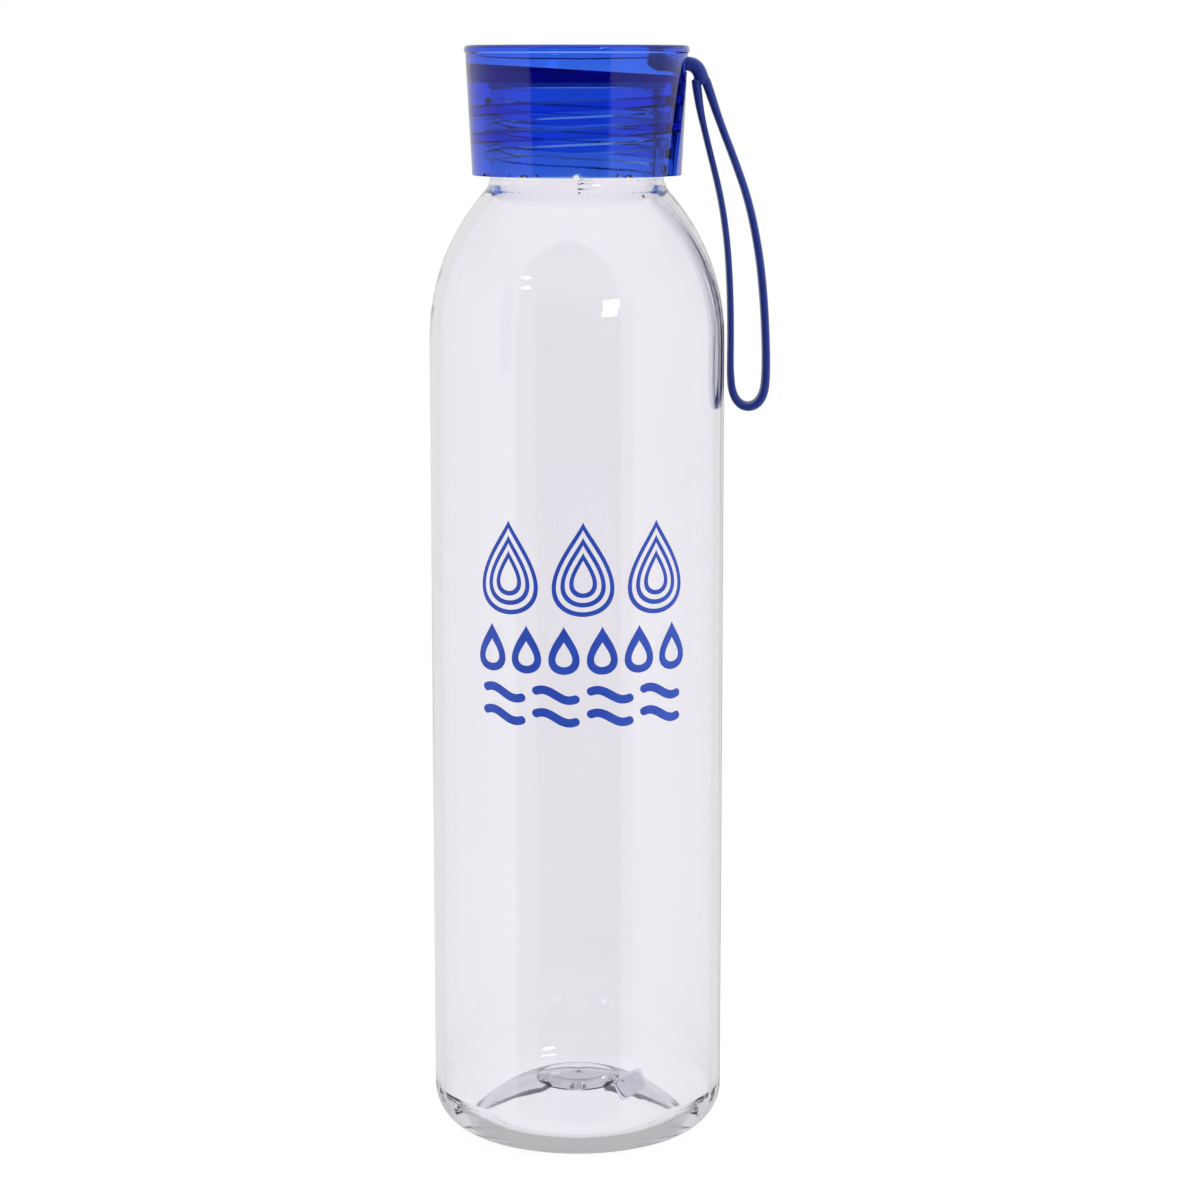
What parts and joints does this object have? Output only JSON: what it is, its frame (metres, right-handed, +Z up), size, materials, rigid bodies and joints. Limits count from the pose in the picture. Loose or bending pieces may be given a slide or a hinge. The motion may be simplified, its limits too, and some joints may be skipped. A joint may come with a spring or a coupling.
{
  "type": "sports drinking bottle",
  "caption": "Clear straight-sided drinking bottle with an arched shoulder, a tapered translucent screw lid and a soft hanging carry strap.",
  "frame": {"origin": "middle of the ring the bottle stands on, on the bottle's axis", "axes": "+Z up the bottle's axis towards the lid, +X towards the hanging strap, -Y the printed front"},
  "size_m": [0.0773, 0.067, 0.2499],
  "materials": {
    "clear_copolyester": "clear, polished",
    "lid_blue": "translucent, polished",
    "seal_silicone": "milky, satin",
    "strap_silicone": "satin"
  },
  "bodies": {
    "bottle": {"bottle_body": "clear_copolyester"},
    "seal": {"seal_ring": "seal_silicone"},
    "lid": {"screw_lid": "lid_blue", "strap_anchor": "strap_silicone"},
    "strap": {"strap_loop": "strap_silicone"}
  },
  "joints": [
    {"name": "lid_lift", "type": "slide", "parent": "bottle", "child": "seal", "axis": [0, 0, 1], "range_m": [0, 0.024]},
    {"name": "lid_turn", "type": "hinge", "parent": "seal", "child": "lid", "pos_m": [0, 0, 0.2211], "axis": [0, 0, 1], "range_deg": [0, 1440]},
    {"name": "strap_swing", "type": "hinge", "parent": "lid", "child": "strap", "pos_m": [0.0277, 0, 0.243], "axis": [0, -1, 0], "range_deg": [0, 110]}
  ],
  "couplings": [
    {"joint": "lid_lift", "follows": "lid_turn", "m_per_rad": 0.00095493}
  ]
}
